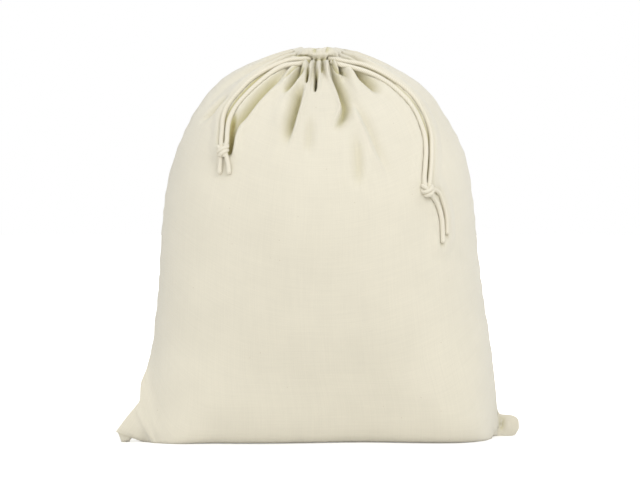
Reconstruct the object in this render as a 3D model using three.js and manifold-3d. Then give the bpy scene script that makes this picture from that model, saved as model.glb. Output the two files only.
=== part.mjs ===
// A large natural cotton drawstring bag, filled and standing on its base, with its mouth drawn shut.
// Two panels are sewn together down both sides and along the bottom. The hem at the mouth is the casing
// of two drawstrings. Each drawstring leaves the gathers on one side, lies over the shoulder of the bag
// and ends in a knot that ties its two ends together.
// Millimetres, +Z up. X runs along the bottom seam and -Y is the front. The origin is on the floor.
import * as THREE from "three";
import { LoftGeometry } from "three/addons/geometries/LoftGeometry.js";
import { mergeVertices } from "three/addons/utils/BufferGeometryUtils.js";
import Module from "manifold-3d";

const wasm = await Module();
wasm.setup();

// Driving dimensions of the cut cloth
const PANEL_LENGTH = 711; // from the bottom seam to the mouth
const TIE = 680; // cloth length at which the drawstrings draw the mouth in
const CLOTH = 2; // thickness of a panel
const SEAM_GAP = 0.3; // between the two panels along a seam
const STEEPEST = 2.2; // most that a panel is thickened, measured outwards, on a steep flank of a fold

// Gathers at the mouth
const PLEAT_WIDTH = 3.6; // degrees
const PLEAT_FADE = 45; // cloth length over which a pleat eases into its own fold
const FRILL_WAVE = 0.7; // unevenness of the mouth's edge
const FRILL_SOFTENS = 0.85; // share of a pleat's depth that is gone above the tie
const FRILL_SOFT = [-8, 5]; // distances from the tie between which that share goes
const BULGE = 8; // the pleats between the two drawstrings stand out under the tie
const BULGE_TURN = { rise: [57, 67], fall: [112, 124] }; // degrees
const BULGE_CLOTH = { rise: [625, 660], fall: [668, 678] }; // cloth lengths
const NECK_FORWARD = 6; // the gathers sit a little in front of the middle
const NECK_STARTS = 560; // cloth length at which the shoulders start to lean that way
const NECK_FLATTENS = 650; // from here to the tie the folds turn to point at the middle

// Flat corners that stick out past the fill, and the left one that lies forward on the floor
const EAR_ROOT = 260; // distance from the middle at which the two panels meet
const EAR_LEAN = 80;
const EAR_LEAN_FROM = 0.55; // share of the half width from which the front and the base lean
const BACK_LEAN_FROM = 0.85; // share from which the upright back leans
const EAR_LENGTH = 210; // cloth length at which the side is upright again
const EAR_OPEN = 1.6; // the two panels stay this far open on the corner that lies forward

// Side seams: cloth length from the bottom seam, distance from the middle, height of the seam
const LEFT_SEAM = [
  { cloth: 0, half: 287.5, height: 16 },
  { cloth: 29, half: 270.5, height: 38.5 },
  { cloth: 46, half: 261, height: 50 },
  { cloth: 60, half: 254.5, height: 60.5 },
  { cloth: 79, half: 254.5, height: 78 },
  { cloth: 110, half: 246, height: 105 },
  { cloth: 152, half: 240, height: 141 },
  { cloth: 215, half: 233, height: 204 },
  { cloth: 284, half: 229, height: 275 },
  { cloth: 354, half: 222, height: 344 },
  { cloth: 408, half: 210, height: 397 },
  { cloth: 446, half: 197, height: 433 },
  { cloth: 486, half: 180, height: 469 },
  { cloth: 520, half: 160, height: 497 },
  { cloth: 556, half: 138, height: 519 },
  { cloth: 596, half: 110, height: 536 },
  { cloth: 634, half: 76, height: 550 },
  { cloth: 661, half: 53, height: 557.5 },
  { cloth: TIE, half: 40, height: 560.8 },
  { cloth: 696, half: 32, height: 563 },
  { cloth: PANEL_LENGTH, half: 26, height: 564.2 },
];
const RIGHT_SEAM = [
  { cloth: 0, half: 283, height: 2 },
  { cloth: 12, half: 287.5, height: 12.5 },
  { cloth: 24, half: 285.5, height: 23.5 },
  { cloth: 36, half: 275.5, height: 29.5 },
  { cloth: 50, half: 262.5, height: 31 },
  { cloth: 58, half: 260.5, height: 38 },
  { cloth: 88, half: 257.5, height: 69 },
  { cloth: 151, half: 250, height: 134 },
  { cloth: 222, half: 239, height: 204 },
  { cloth: 292, half: 231, height: 273 },
  { cloth: 362, half: 224, height: 343 },
  { cloth: 414, half: 216, height: 395 },
  { cloth: 451, half: 203, height: 430 },
  { cloth: 491, half: 183, height: 465 },
  { cloth: 535, half: 159, height: 500 },
  { cloth: 560, half: 140, height: 517 },
  { cloth: 594, half: 111, height: 534 },
  { cloth: 636, half: 73, height: 550.5 },
  { cloth: 662, half: 52, height: 557.5 },
  { cloth: TIE, half: 40, height: 560.8 },
  { cloth: 696, half: 32, height: 563 },
  { cloth: PANEL_LENGTH, half: 26, height: 564.2 },
];

// Middle of each panel: the first rows lie on the floor, the rest climb over the fill to the mouth
const FRONT_MIDDLE = [
  { cloth: 0, half: 0, height: 0 },
  { cloth: 88, half: 88, height: 0 },
  { cloth: 100, half: 97, height: 4 },
  { cloth: 114, half: 103, height: 17 },
  { cloth: 138, half: 107, height: 40 },
  { cloth: 198, half: 115, height: 100 },
  { cloth: 266, half: 130, height: 169 },
  { cloth: 337, half: 142, height: 239 },
  { cloth: 406, half: 148, height: 308 },
  { cloth: 441, half: 145, height: 343 },
  { cloth: 477, half: 138, height: 378 },
  { cloth: 514, half: 127, height: 413 },
  { cloth: 550, half: 113, height: 447 },
  { cloth: 591, half: 93, height: 482 },
  { cloth: 633, half: 67, height: 515 },
  { cloth: 656, half: 50, height: 531 },
  { cloth: 671, half: 38, height: 541 },
  { cloth: TIE, half: 33, height: 546 },
  { cloth: 690, half: 37, height: 551.5 },
  { cloth: 700, half: 37, height: 557.5 },
  { cloth: PANEL_LENGTH, half: 31, height: 561.5 },
];
const BACK_MIDDLE = [
  { cloth: 0, half: 0, height: 0 },
  { cloth: 88, half: 88, height: 0 },
  { cloth: 100, half: 97, height: 4 },
  { cloth: 114, half: 103, height: 17 },
  { cloth: 138, half: 107, height: 40 },
  { cloth: 198, half: 116, height: 101 },
  { cloth: 266, half: 131, height: 170 },
  { cloth: 337, half: 142, height: 240 },
  { cloth: 406, half: 148, height: 309 },
  { cloth: 441, half: 147, height: 344 },
  { cloth: 477, half: 141, height: 380 },
  { cloth: 514, half: 131, height: 416 },
  { cloth: 552, half: 118, height: 452 },
  { cloth: 592, half: 98, height: 488 },
  { cloth: 632, half: 74, height: 521 },
  { cloth: 655, half: 57, height: 540 },
  { cloth: 669, half: 44, height: 549 },
  { cloth: TIE, half: 33, height: 549 },
  { cloth: 690, half: 36, height: 554.5 },
  { cloth: 700, half: 35, height: 560.5 },
  { cloth: PANEL_LENGTH, half: 29, height: 564.5 },
];

// Shape of the sections on each side: how square their corners are and how flat they run out, from which
// share of the body's half width the cloth climbs from the height of the middle to that of the side seam,
// and the power of that climb, a higher one climbing later
const LEFT_ENDS = [
  { cloth: 0, square: 5, flat: 1, climbFrom: 0.8, late: 0.35 },
  { cloth: 29, square: 5, flat: 1, climbFrom: 0.8, late: 0.9 },
  { cloth: 58, square: 6, flat: 1, climbFrom: 0.8, late: 1.6 },
  { cloth: 90, square: 6, flat: 1, climbFrom: 0.8, late: 2.2 },
  { cloth: 132, square: 5.5, flat: 0.8, climbFrom: 0.65, late: 2.2 },
  { cloth: 208, square: 3.5, flat: 0.5, climbFrom: 0.3, late: 2 },
  { cloth: 308, square: 2.7, flat: 0.5, climbFrom: 0, late: 2 },
  { cloth: 402, square: 2.2, flat: 0.5, climbFrom: 0, late: 2 },
  { cloth: 664, square: 2, flat: 0.5, climbFrom: 0, late: 2 },
  { cloth: TIE, square: 2, flat: 0.5, climbFrom: 0, late: 3 },
  { cloth: PANEL_LENGTH, square: 2, flat: 0.5, climbFrom: 0, late: 1 },
];
const RIGHT_ENDS = [
  { cloth: 0, square: 22, flat: 0.5, climbFrom: 0.9, late: 0.3 },
  { cloth: 24, square: 22, flat: 0.5, climbFrom: 0.9, late: 0.3 },
  { cloth: 50, square: 22, flat: 0.5, climbFrom: 0.9, late: 1 },
  { cloth: 90, square: 22, flat: 0.5, climbFrom: 0.91, late: 4 },
  { cloth: 132, square: 12, flat: 0.5, climbFrom: 0.75, late: 3 },
  { cloth: 208, square: 5, flat: 0.5, climbFrom: 0.3, late: 2 },
  { cloth: 308, square: 2.7, flat: 0.5, climbFrom: 0, late: 2 },
  { cloth: 402, square: 2.2, flat: 0.5, climbFrom: 0, late: 2 },
  { cloth: 664, square: 2, flat: 0.5, climbFrom: 0, late: 2 },
  { cloth: TIE, square: 2, flat: 0.5, climbFrom: 0, late: 3 },
  { cloth: PANEL_LENGTH, square: 2, flat: 0.5, climbFrom: 0, late: 1 },
];
const FLOOR_EDGE = 88; // cloth length at which the base turns up into the front and the back
// Where the foot of the front is drawn back: how far, its middle and half width, and the cloth lengths at
// which it starts, is deepest and ends
const TUCK = { back: 17, middle: 63, wide: 90, starts: 30, deepest: FLOOR_EDGE, ends: 240 };

// Folds that run down from the gathers. Angles go round the bag in degrees from the left seam, over the
// front to the right seam at 180, and back round. neck and foot are the angles at the two ends of a fold,
// reach is its length down the cloth, gather is its depth in the gathers, depth and width are those of its
// trough on the shoulder.
const FRONT_FOLDS = [
  { neck: 11, foot: 9, reach: 70, gather: 13, depth: 4, width: 4 },
  { neck: 25, foot: 20, reach: 215, gather: 14, depth: 5, width: 4.5 },
  { neck: 40, foot: 35, reach: 95, gather: 14, depth: 4, width: 4.5 },
  { neck: 54, foot: 45, reach: 190, gather: 16, depth: 9, width: 5 },
  { neck: 66, foot: 63, reach: 115, gather: 17, depth: 8, width: 4.5 },
  { neck: 76, foot: 75, reach: 210, gather: 12, depth: 9, width: 5 },
  { neck: 85, foot: 85, reach: 120, gather: 18, depth: 6, width: 4 },
  { neck: 97, foot: 97, reach: 60, gather: 16, depth: 4, width: 4 },
  { neck: 110, foot: 99, reach: 150, gather: 17, depth: 9, width: 4.5 },
  { neck: 122, foot: 106, reach: 250, gather: 16, depth: 6, width: 5 },
  { neck: 135, foot: 133, reach: 140, gather: 16, depth: 7, width: 4.5 },
  { neck: 150, foot: 147, reach: 140, gather: 15, depth: 5, width: 6 },
  { neck: 165, foot: 166, reach: 100, gather: 14, depth: 4, width: 4.5 },
];
const BACK_FOLDS = [
  { neck: 189, foot: 188, reach: 80, gather: 14, depth: 4, width: 4 },
  { neck: 203, foot: 205, reach: 150, gather: 16, depth: 6, width: 4.5 },
  { neck: 217, foot: 220, reach: 100, gather: 18, depth: 5, width: 4.5 },
  { neck: 231, foot: 236, reach: 210, gather: 15, depth: 8, width: 5 },
  { neck: 245, foot: 247, reach: 110, gather: 17, depth: 8, width: 4 },
  { neck: 257, foot: 262, reach: 180, gather: 14, depth: 9, width: 5 },
  { neck: 269, foot: 271, reach: 260, gather: 18, depth: 8, width: 5 },
  { neck: 281, foot: 280, reach: 120, gather: 16, depth: 10, width: 4 },
  { neck: 294, foot: 291, reach: 220, gather: 17, depth: 7, width: 5 },
  { neck: 306, foot: 302, reach: 140, gather: 14, depth: 7, width: 4.5 },
  { neck: 320, foot: 322, reach: 180, gather: 18, depth: 6, width: 5 },
  { neck: 335, foot: 334, reach: 90, gather: 15, depth: 5, width: 4.5 },
  { neck: 349, foot: 351, reach: 70, gather: 16, depth: 4, width: 4 },
];
const FOLDS = [...FRONT_FOLDS, ...BACK_FOLDS];

// Cloth lengths at which the sections of a panel are taken: base, body, shoulders, gathers and frill
const SECTIONS = [
  0, 12, 24, 36, 50, 68, 88, 98, 111, 132, 166, 208, 258, 308, 358, 402, 442, 476, 506, 534, 560, 584, 606,
  626, 643, 657, 668, 676, TIE, 690, 700, PANEL_LENGTH,
];

// Drawstrings
const CORD = 7; // diameter
const CORD_SIDES = 10;
const CORD_STEP = 11; // length of cord between two rings of its surface
const KNOT_GAP = 0.4; // between a knot and the cord that enters it

// Routes of the cord, from the gathers into a knot, or from a knot to a free end
const LEFT_OUTER = [
  [-23.5, -45.5, 545],
  [-34, -45, 544],
  [-42.5, -46.7, 543],
  [-52, -49, 539.5],
  [-62, -50.5, 535.5],
  [-79.5, -55.5, 526.5],
  [-97, -63, 514.5],
  [-111.5, -69.5, 499.5],
  [-122.5, -74, 486.5],
  [-130.5, -78.5, 473.5],
  [-134.5, -84.5, 459.5],
  [-135.5, -93, 442.5],
  [-136.5, -100, 426.5],
  [-135, -109.5, 414],
];
const LEFT_INNER = [
  [-29, -53, 537.8],
  [-42, -54, 536.5],
  [-50, -55, 534.5],
  [-57.5, -57, 531],
  [-73.5, -62.5, 520],
  [-88.5, -69.5, 507],
  [-101, -76, 494.5],
  [-112, -81, 482],
  [-120, -85.5, 470],
  [-125.5, -90.5, 457.5],
  [-128, -97.5, 440.5],
  [-128.5, -104, 426.5],
  [-131.5, -112, 414],
];
const RIGHT_OUTER = [
  [26, -47.5, 543.8],
  [34, -50.3, 542],
  [44.5, -49.6, 540],
  [58, -49, 538],
  [68.5, -50.5, 535],
  [86.5, -52.5, 527],
  [106.5, -55.5, 515],
  [123.5, -60, 502.5],
  [136.5, -64, 489],
  [146, -68, 474],
  [154, -73.5, 456.5],
  [158.5, -80.5, 438.5],
  [159, -91, 417.5],
  [158, -101, 394],
  [155.5, -109.5, 371.5],
  [154, -116.5, 360],
];
const RIGHT_INNER = [
  [30.5, -56, 536.5],
  [43, -58, 533.5],
  [53, -57, 531],
  [63, -57.8, 528],
  [81.5, -60, 520.5],
  [99.5, -64, 509.5],
  [115, -70, 496.5],
  [128, -74, 483],
  [137.5, -78, 468.5],
  [144.5, -83, 452],
  [149.5, -88.5, 435],
  [151, -97.5, 414.5],
  [149.5, -106.5, 393.5],
  [148, -114, 371.5],
  [149.5, -119, 360],
];
const RIGHT_TAIL_FRONT = [
  [154, -116.5, 356],
  [159.5, -112, 350],
  [164.5, -108, 343],
  [168.5, -105.5, 335],
  [171, -104.5, 327],
  [173, -104, 318],
  [174, -104, 304],
  [174.5, -105, 284],
];
const RIGHT_TAIL_BACK = [
  [154.5, -116, 357],
  [162.5, -108, 359],
  [170, -102.5, 354],
  [174.5, -100.5, 343],
  [177.5, -99, 334],
  [179.5, -98, 325],
  [180.5, -98.5, 311],
  [180.5, -99.5, 296],
];
const LEFT_STUBS = [
  [
    [-135.5, -111, 412],
    [-137.5, -111.5, 397],
    [-138.5, -114, 380.5],
  ],
  [
    [-130.5, -114, 412],
    [-126.5, -116.5, 397],
    [-124.5, -121, 380.5],
  ],
];

// Knots: middle, the direction straight out of the bag, and the width, depth and height of the core
const LEFT_KNOT = { middle: [-133.5, -111, 414], out: [-0.4, -0.85, 0.33], size: [18, 15, 21] };
const RIGHT_KNOT = { middle: [153, -117, 359], out: [0.47, -0.87, 0.12], size: [16, 14, 20] };
// Turns of cord round a knot's core: height on the core, tilt in degrees, radius across and in depth
const KNOT_TURNS = [
  { height: 3.5, tilt: 26, across: 5.8, depth: 4.6 },
  { height: -3.5, tilt: -22, across: 5.8, depth: 4.6 },
];

const { degToRad, smoothstep } = THREE.MathUtils;

// A smooth curve through one column of a table that never swings past its rows.
function curveThrough(rows, column) {
  const at = rows.map((row) => row.cloth);
  const value = rows.map((row) => row[column]);
  const step = at.slice(1).map((x, i) => x - at[i]);
  const rise = step.map((width, i) => (value[i + 1] - value[i]) / width);
  const slope = value.map((_, i) => {
    if (i === 0) return rise[0];
    if (i === step.length) return rise[i - 1];
    if (rise[i - 1] * rise[i] <= 0) return 0;
    const before = 2 * step[i] + step[i - 1];
    const after = step[i] + 2 * step[i - 1];
    return (before + after) / (before / rise[i - 1] + after / rise[i]);
  });
  return (cloth) => {
    const found = at.findIndex((x) => x > cloth);
    const i = found < 0 ? step.length - 1 : Math.max(0, found - 1);
    const u = (cloth - at[i]) / step[i];
    const v = 1 - u;
    return (
      value[i] * (1 + 2 * u) * v * v +
      value[i + 1] * (3 - 2 * u) * u * u +
      step[i] * u * v * (slope[i] * v - slope[i + 1] * u)
    );
  };
}

const outline = (rows) => ({ half: curveThrough(rows, "half"), height: curveThrough(rows, "height") });
const leftSeam = outline(LEFT_SEAM);
const rightSeam = outline(RIGHT_SEAM);
const frontMiddle = outline(FRONT_MIDDLE);
const backMiddle = outline(BACK_MIDDLE);
const shape = (rows) => ({
  square: curveThrough(rows, "square"),
  flat: curveThrough(rows, "flat"),
  climbFrom: curveThrough(rows, "climbFrom"),
  late: curveThrough(rows, "late"),
});
const leftShape = shape(LEFT_ENDS);
const rightShape = shape(RIGHT_ENDS);

// Distance from the middle as a share of the body's half width. It is over 1 on a flat corner.
function bodyShare(angle, cloth) {
  const across = Math.cos(angle);
  const half = (across > 0 ? leftSeam : rightSeam).half(cloth);
  return (Math.abs(across) * half) / Math.min(half, EAR_ROOT);
}

// A point of the bag's outside before any fold, at an angle in radians and a cloth length.
function smoothPoint(angle, cloth) {
  const across = Math.cos(angle);
  const front = Math.sin(angle) >= 0;
  const seam = across > 0 ? leftSeam : rightSeam;
  const middle = front ? frontMiddle : backMiddle;
  const ends = across > 0 ? leftShape : rightShape;
  const share = bodyShare(angle, cloth);
  const x = -across * seam.half(cloth);
  const depth = middle.half(cloth) * Math.max(0, 1 - share ** ends.square(cloth)) ** ends.flat(cloth);
  const from = ends.climbFrom(cloth);
  const tip = Math.max(1, seam.half(cloth) / EAR_ROOT);
  const climb = THREE.MathUtils.clamp((share - from) / (tip - from), 0, 1) ** ends.late(cloth);
  const low = middle.height(cloth) - Math.max(0, seam.height(FLOOR_EDGE) - seam.height(cloth));
  const forward = NECK_FORWARD * smoothstep(cloth, NECK_STARTS, TIE);
  return new THREE.Vector3(
    x,
    (front ? frontTuck(x, cloth) - depth : depth) - forward,
    Math.max(0, THREE.MathUtils.lerp(low, seam.height(cloth), climb)),
  );
}

// How far the foot of the front is drawn back.
function frontTuck(x, cloth) {
  const up = smoothstep(cloth, TUCK.starts, TUCK.deepest) * (1 - smoothstep(cloth, TUCK.deepest, TUCK.ends));
  return TUCK.back * up * Math.exp(-(((x - TUCK.middle) / TUCK.wide) ** 2));
}

// How far the left corner lies forward.
function cornerLean(angle, cloth) {
  const upright = Math.sin(angle) < 0 ? smoothstep(cloth, 0, FLOOR_EDGE) : 0;
  const from = THREE.MathUtils.lerp(EAR_LEAN_FROM, BACK_LEAN_FROM, upright);
  return EAR_LEAN * smoothstep(Math.cos(angle), from, 1) * (1 - smoothstep(cloth, 0, EAR_LENGTH));
}

// The outward direction of the smooth outside. It is taken a little inside the panel, because the ends
// of the sections are points.
function outward(angle, cloth) {
  const side = Math.floor(angle / Math.PI) * Math.PI;
  if (bodyShare(angle, cloth) > 1.001) return new THREE.Vector3(0, side > 0 ? 1 : -1, 0);
  const inset = degToRad(2);
  const at = THREE.MathUtils.clamp(angle, side + inset, side + Math.PI - inset);
  const along = THREE.MathUtils.clamp(cloth, 1, PANEL_LENGTH - 1);
  const round = smoothPoint(at + inset / 2, along).sub(smoothPoint(at - inset / 2, along));
  const up = smoothPoint(at, along + 1).sub(smoothPoint(at, along - 1));
  return round.cross(up).normalize();
}

// How far the folds draw the cloth in, at an angle in radians and a cloth length.
function foldDepth(angle, cloth) {
  const below = Math.max(0, TIE - cloth);
  const left = 1 - FRILL_SOFTENS * smoothstep(cloth - TIE, ...FRILL_SOFT);
  let depth = 0;
  for (const fold of FOLDS) {
    const share = Math.min(1, below / fold.reach);
    const trough = THREE.MathUtils.lerp(fold.neck, fold.foot, share ** 0.7);
    const width = THREE.MathUtils.lerp(PLEAT_WIDTH, fold.width, Math.min(1, below / (2 * PLEAT_FADE)));
    const turn = THREE.MathUtils.euclideanModulo(THREE.MathUtils.radToDeg(angle) - trough + 180, 360) - 180;
    const pleat = (fold.gather - fold.depth) * Math.exp(-((below / PLEAT_FADE) ** 2));
    const strength = (fold.depth + pleat) * (1 - smoothstep(share, 0.45, 1)) * left;
    depth += strength * Math.exp(-((turn / width) ** 2));
  }
  return depth;
}

// How far the pleats between the drawstrings stand out under the tie.
function pleatBulge(angle, cloth) {
  const turn = THREE.MathUtils.radToDeg(angle);
  const across = smoothstep(turn, ...BULGE_TURN.rise) * (1 - smoothstep(turn, ...BULGE_TURN.fall));
  const up = smoothstep(cloth, ...BULGE_CLOTH.rise) * (1 - smoothstep(cloth, ...BULGE_CLOTH.fall));
  return BULGE * across * up;
}

// The two faces of the cloth at an angle and a cloth length: its outside and its inside.
function clothFaces(angle, cloth, front) {
  const side = front ? 0 : Math.PI;
  const inset = degToRad(0.001);
  const at = THREE.MathUtils.clamp(angle, side + inset, side + Math.PI - inset);
  const point = smoothPoint(at, cloth);
  const radial = new THREE.Vector3(point.x, point.y + NECK_FORWARD, 0);
  const radius = Math.max(1, radial.length());
  radial.divideScalar(radius);
  const out = outward(at, cloth);
  out.lerp(radial, smoothstep(cloth, NECK_FLATTENS, TIE)).normalize();
  const lean = cornerLean(at, cloth);
  const gap = SEAM_GAP + (EAR_OPEN * lean) / EAR_LEAN;
  point.y += (front ? -1 : 1) * (gap / 2 + CLOTH * Math.abs(out.y));
  const step = degToRad(0.5);
  const slope = (foldDepth(at + step, cloth) - foldDepth(at - step, cloth)) / (2 * step);
  const thick = CLOTH * Math.min(STEEPEST, Math.hypot(1, slope / radius));
  const middle = point.addScaledVector(out, pleatBulge(at, cloth) - foldDepth(at, cloth) - CLOTH / 2);
  middle.y -= lean;
  const edge = smoothstep(cloth, TIE, PANEL_LENGTH);
  middle.z += FRILL_WAVE * edge * (Math.sin(3 * at + 1) + Math.sin(7 * at));
  return {
    outside: middle.clone().addScaledVector(out, thick / 2),
    inside: middle.clone().addScaledVector(out, -thick / 2),
  };
}

// The angles of a panel's columns: each trough at the gathers, and two on the ridge between a pair.
function columnAngles(folds, from, to) {
  const stops = [from, ...folds.map((fold) => fold.neck), to];
  const angles = stops.slice(0, -1).flatMap((stop, i) => {
    const third = (stops[i + 1] - stop) / 3;
    return [stop, stop + third, stop + 2 * third];
  });
  return [...angles, to].map(degToRad);
}

// One panel: each section runs along the outside of the cloth and back along its inside. The first and
// last sections close the cut edges.
function panelGeometry(folds, from, to) {
  const angles = columnAngles(folds, from, to);
  const front = from === 0;
  const section = (cloth) => {
    const faces = angles.map((angle) => clothFaces(angle, cloth, front));
    return [...faces.map((face) => face.outside), ...faces.map((face) => face.inside).reverse()];
  };
  const closed = (cloth) => {
    const ring = section(cloth);
    const last = ring.length - 1;
    return ring.map((point, i) => point.clone().lerp(ring[last - i], 0.5));
  };
  const sections = [closed(0), ...SECTIONS.map(section), closed(PANEL_LENGTH)];
  return weld(new LoftGeometry(sections));
}

// A geometry with its shared corners merged.
function weld(geometry) {
  const plain = new THREE.BufferGeometry();
  plain.setAttribute("position", geometry.getAttribute("position"));
  plain.setIndex(geometry.getIndex());
  return mergeVertices(plain, 1e-3);
}

// A round cord along a route.
function cordGeometry(route, radius = CORD / 2) {
  const path = new THREE.CatmullRomCurve3(route.map((point) => new THREE.Vector3(...point)));
  const round = new THREE.Shape().absarc(0, 0, radius, 0, 2 * Math.PI);
  return weld(
    new THREE.ExtrudeGeometry(round, {
      extrudePath: path,
      steps: Math.ceil(path.getLength() / CORD_STEP),
      curveSegments: CORD_SIDES / 2,
    }),
  );
}

// A knot's core with its turns of cord, a little larger all round by grow.
function knotSolid(knot, grow = 0) {
  const core = new THREE.SphereGeometry(0.5, 14, 8).scale(...knot.size.map((size) => size + 2 * grow));
  const turns = KNOT_TURNS.map((turn) => {
    const ring = new THREE.TorusGeometry(turn.across, CORD / 2 + grow, CORD_SIDES, 18);
    ring.scale(1, turn.depth / turn.across, 1);
    return ring.rotateY(degToRad(turn.tilt)).translate(0, 0, turn.height);
  });
  const out = new THREE.Vector3(...knot.out).normalize();
  const across = out.clone().cross(new THREE.Vector3(0, 0, 1)).normalize();
  const up = across.clone().cross(out);
  const frame = new THREE.Matrix4().makeBasis(across, out, up).setPosition(...knot.middle);
  return join([core, ...turns].map((geometry) => toSolid(geometry.applyMatrix4(frame))));
}

const join = (solids) => solids.reduce((all, solid) => all.add(solid));

function toSolid(geometry) {
  const welded = weld(geometry);
  const mesh = new wasm.Mesh({
    numProp: 3,
    vertProperties: new Float32Array(welded.getAttribute("position").array),
    triVerts: new Uint32Array(welded.getIndex().array),
  });
  return new wasm.Manifold(mesh);
}

function toGeometry(solid) {
  const mesh = solid.getMesh();
  const geometry = new THREE.BufferGeometry();
  geometry.setAttribute("position", new THREE.BufferAttribute(mesh.vertProperties, 3));
  geometry.setIndex(new THREE.BufferAttribute(mesh.triVerts, 1));
  return geometry;
}

// A cord cut back to just clear of the knot at one of its ends.
const cordTo = (knot, route) => toGeometry(toSolid(cordGeometry(route)).subtract(knotSolid(knot, KNOT_GAP)));

const cotton = () => new THREE.MeshStandardMaterial({ color: 0xe6e0cc, roughness: 0.9, metalness: 0 });
const drawstring = () => new THREE.MeshStandardMaterial({ color: 0xe9e2cd, roughness: 0.85, metalness: 0 });

const bag = new THREE.Group();
function add(name, geometry, material) {
  const mesh = new THREE.Mesh(geometry, material());
  mesh.name = name;
  bag.add(mesh);
}

add("front_panel", panelGeometry(FRONT_FOLDS, 0, 180), cotton);
add("back_panel", panelGeometry(BACK_FOLDS, 180, 360), cotton);

const stubs = LEFT_STUBS.map((route) => toSolid(cordGeometry(route)));
add("left_strand_outer", cordTo(LEFT_KNOT, LEFT_OUTER), drawstring);
add("left_strand_inner", cordTo(LEFT_KNOT, LEFT_INNER), drawstring);
add("left_knot", toGeometry(join([knotSolid(LEFT_KNOT), ...stubs])), drawstring);

add("right_strand_outer", cordTo(RIGHT_KNOT, RIGHT_OUTER), drawstring);
add("right_strand_inner", cordTo(RIGHT_KNOT, RIGHT_INNER), drawstring);
add("right_knot", toGeometry(knotSolid(RIGHT_KNOT)), drawstring);
add("right_tail_front", cordTo(RIGHT_KNOT, RIGHT_TAIL_FRONT), drawstring);
add("right_tail_back", cordTo(RIGHT_KNOT, RIGHT_TAIL_BACK), drawstring);

export default bag;
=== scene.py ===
"""A filled cotton drawstring bag standing on a pale floor, its mouth drawn shut.

Metres, +Z up, -Y is the front.
"""

import math

import bmesh
import bpy
import numpy as np
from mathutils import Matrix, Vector, kdtree, noise


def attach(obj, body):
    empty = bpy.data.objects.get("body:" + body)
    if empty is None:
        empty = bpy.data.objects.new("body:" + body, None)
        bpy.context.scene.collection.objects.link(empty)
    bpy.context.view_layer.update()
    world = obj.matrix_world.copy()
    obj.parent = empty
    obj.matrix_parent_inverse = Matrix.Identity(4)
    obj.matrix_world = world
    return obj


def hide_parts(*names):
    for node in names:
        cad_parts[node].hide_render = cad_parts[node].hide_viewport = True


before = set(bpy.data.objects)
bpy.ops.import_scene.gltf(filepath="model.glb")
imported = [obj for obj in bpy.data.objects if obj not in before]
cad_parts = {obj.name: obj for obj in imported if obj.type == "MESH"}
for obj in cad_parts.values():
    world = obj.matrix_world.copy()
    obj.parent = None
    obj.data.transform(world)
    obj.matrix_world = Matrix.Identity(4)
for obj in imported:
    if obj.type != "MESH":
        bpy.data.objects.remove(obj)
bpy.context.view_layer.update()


def table(columns, *rows):
    """A short table as one array for each named column."""
    return dict(zip(columns.split(), np.array(rows, float).T))


# Driving dimensions of the cut cloth
PANEL_WIDTH = 0.610
PANEL_LENGTH = 0.711  # from the bottom seam to the mouth
TIE = 0.680  # cloth length at which the drawstrings draw the mouth in
CLOTH = 0.0011  # thickness of the cloth
WALL = 0.002  # thickness of the solid panel that the cloth stands for
SEAM_GAP = 0.0002  # between the two panels beside a seam
SEAM_CLOSES = 0.02  # sine of the angle from a side seam at which they start to meet
BOTTOM_CLOSES = 0.010  # distance from the bottom seam at which they start to meet
SEAM_THINS = (0.02, 0.40)  # sines over which the panel goes from the cloth's to its full thickness
SEAM_TURN = math.radians(0.001)  # the outermost columns lie this far inside the seams
# The outward direction is measured over this turn and this cloth length, and that far inside the edges
EDGE_TURN = math.radians(2)
EDGE_STEP = 0.001

# Columns and rows of a panel's mesh: cloth lengths up to which the rows are a given step apart
PANEL_COLUMNS = 280
FINE_COLUMNS = 1600  # on which the cloth's length is measured to spread the columns evenly
PANEL_ROWS = table(
    "upto step",
    (0.012, 0.0015),
    (0.024, 0.0030),
    (0.070, 0.0044),
    (0.130, 0.0055),
    (0.440, 0.0080),
    (0.540, 0.0045),
    (0.620, 0.0036),
    (0.700, 0.0017),
    (PANEL_LENGTH, 0.0012),
)

# Gathers at the mouth
PLEAT_WIDTH = 3.0  # degrees
PLEAT_FADE = 0.045  # cloth length over which a pleat eases into its own fold
FRILL_WAVE = 0.0007  # unevenness of the mouth's edge
FRILL_SOFTENS = 0.95  # share of the pleats' depth that is gone above the tie
FRILL_SOFT = (-0.011, 0.003)  # distances from the tie between which that share goes
PLEAT_BULGE = 0.008  # the pleats between the two drawstrings stand out under the tie
PLEAT_BULGE_LEFT = (57, 67)  # degrees over which they rise on the left, and fall on the right
PLEAT_BULGE_RIGHT = (112, 124)
PLEAT_BULGE_FOOT = (0.625, 0.660)  # cloth lengths over which they rise and fall again
PLEAT_BULGE_TOP = (0.668, 0.678)
NECK_FORWARD = 0.006
NECK_STARTS = 0.560
NECK_FLATTENS = 0.650

# Flat corners that stick out past the fill, and the left one that lies forward on the floor
EAR_ROOT = 0.260  # half width of the body, past which a corner is flat
EAR_FLAT = 1.001  # share of it past which the cloth faces straight forward or back
EAR_LEAN = 0.080
EAR_LEAN_FROM = 0.55  # share of the half width from which the front and the base lean
BACK_LEAN_FROM = 0.85  # share from which the upright back leans
EAR_LENGTH = 0.210  # cloth length at which the side is upright again
EAR_OPEN = 0.0010  # how far the left corner's two panels part
# The underside of the left corner sags below its seam: how far, from which share of the half width and
# over what cloth length
EAR_SAG = 0.032
EAR_SAG_FROM = 0.985
EAR_SAG_TIPWARD = 2.6  # a higher power puts the deepest place nearer to the tip
EAR_SAG_CLOTH = 0.024
EAR_SAG_BACK = 0.30  # share of the sag by which the underside also swells back

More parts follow.
